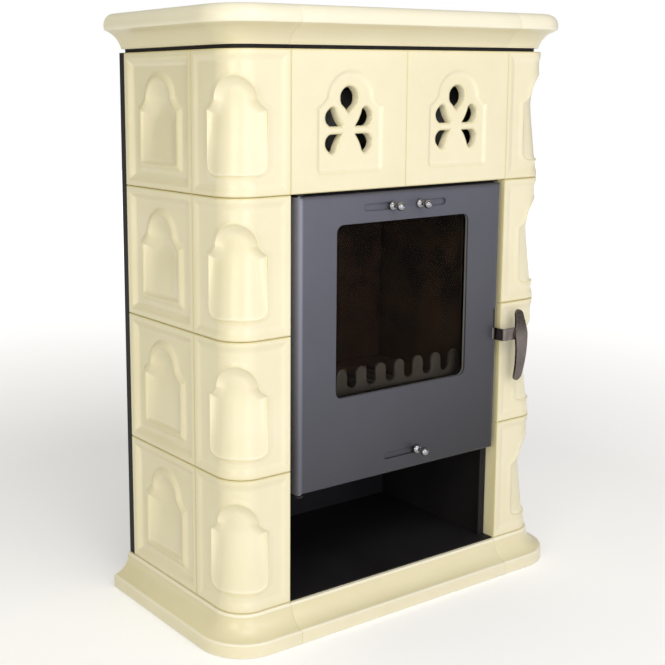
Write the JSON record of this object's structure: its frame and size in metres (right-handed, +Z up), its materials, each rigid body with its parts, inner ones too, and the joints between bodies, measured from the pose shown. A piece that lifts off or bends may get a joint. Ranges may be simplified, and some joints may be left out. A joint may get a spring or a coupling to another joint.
{
  "type": "tiled wood stove",
  "caption": "Freestanding wood stove clad in cream glazed tiles, with moulded plinth and cornice, a hinged glass door, sliding air controls and an open wood store below.",
  "frame": {"origin": "on the floor, under the middle of the overall box, flue collar included", "axes": "+X to the stove's right-hand side as seen from the front, -Y towards the room (door side), +Z up"},
  "size_m": [0.754, 0.4162, 1.004],
  "materials": {
    "glaze": "glossy cream glaze, paler on the raised edges",
    "black_steel": "matt black stove paint",
    "body_steel": "dull dark grey sheet steel",
    "door_paint": "satin anthracite stove paint",
    "guard_steel": "dull grey heat-resistant paint",
    "cast_iron": "rough casting",
    "firebrick": "dry, pale tan, slightly rough",
    "glass": "clear, polished",
    "fibre_rope": "woven glass fibre rope",
    "bright_steel": "plain turned steel",
    "handle_steel": "dark brushed flat steel",
    "chrome": "polished"
  },
  "bodies": {
    "root": {"ash_pan": "body_steel", "back_panel": "black_steel", "baffle": "firebrick", "base_tray": "black_steel", "casing_left": "body_steel", "casing_right": "body_steel", "corner_tile_left_1": "glaze", "corner_tile_left_2": "glaze", "corner_tile_left_3": "glaze", "corner_tile_left_4": "glaze", "corner_tile_right_1": "glaze", "corner_tile_right_2": "glaze", "corner_tile_right_3": "glaze", "corner_tile_right_4": "glaze", "cornice_front": "glaze", "cornice_left": "glaze", "cornice_plate": "black_steel", "cornice_right": "glaze", "firebox_floor": "body_steel", "firebox_wall": "body_steel", "flue_collar": "black_steel", "frieze_tile_left": "glaze", "frieze_tile_right": "glaze", "front_frame": "black_steel", "grate": "cast_iron", "hearth_shelf": "body_steel", "liner_back": "firebrick", "liner_base": "firebrick", "liner_left": "firebrick", "liner_right": "firebrick", "log_guard": "guard_steel", "plinth_front": "glaze", "plinth_left": "glaze", "plinth_right": "glaze", "side_tile_left_1": "glaze", "side_tile_left_2": "glaze", "side_tile_left_3": "glaze", "side_tile_left_4": "glaze", "side_tile_right_1": "glaze", "side_tile_right_2": "glaze", "side_tile_right_3": "glaze", "side_tile_right_4": "glaze", "smoke_hood": "body_steel", "store_lining": "black_steel", "tile_clips": "body_steel", "top_plate": "black_steel"},
    "door": {"door_skin": "door_paint", "window_pane": "glass", "window_gasket": "fibre_rope", "inner_frame": "body_steel", "door_seal": "fibre_rope", "door_screws": "bright_steel", "slide_guides": "body_steel", "hinge_pins": "bright_steel", "handle_pin": "bright_steel"},
    "handle": {"handle": "handle_steel", "closing_nose": "handle_steel"},
    "air_slide_left": {"air_slide_left": "chrome"},
    "air_slide_right": {"air_slide_right": "chrome"},
    "air_slide_foot": {"air_slide_foot": "chrome"}
  },
  "joints": [
    {"name": "door_hinge", "type": "hinge", "parent": "root", "child": "door", "pos_m": [-0.2115, -0.165, 0.476], "axis": [0, 0, -1], "range_deg": [0, 110]},
    {"name": "handle_pivot", "type": "hinge", "parent": "door", "child": "handle", "pos_m": [0.218, -0.171, 0.4645], "axis": [0, 0, -1], "range_deg": [0, 30]},
    {"name": "air_left", "type": "slide", "parent": "door", "child": "air_slide_left", "axis": [-1, 0, 0], "range_m": [0, 0.05]},
    {"name": "air_right", "type": "slide", "parent": "door", "child": "air_slide_right", "axis": [1, 0, 0], "range_m": [0, 0.05]},
    {"name": "air_foot", "type": "slide", "parent": "door", "child": "air_slide_foot", "axis": [-1, 0, 0], "range_m": [0, 0.068]}
  ]
}
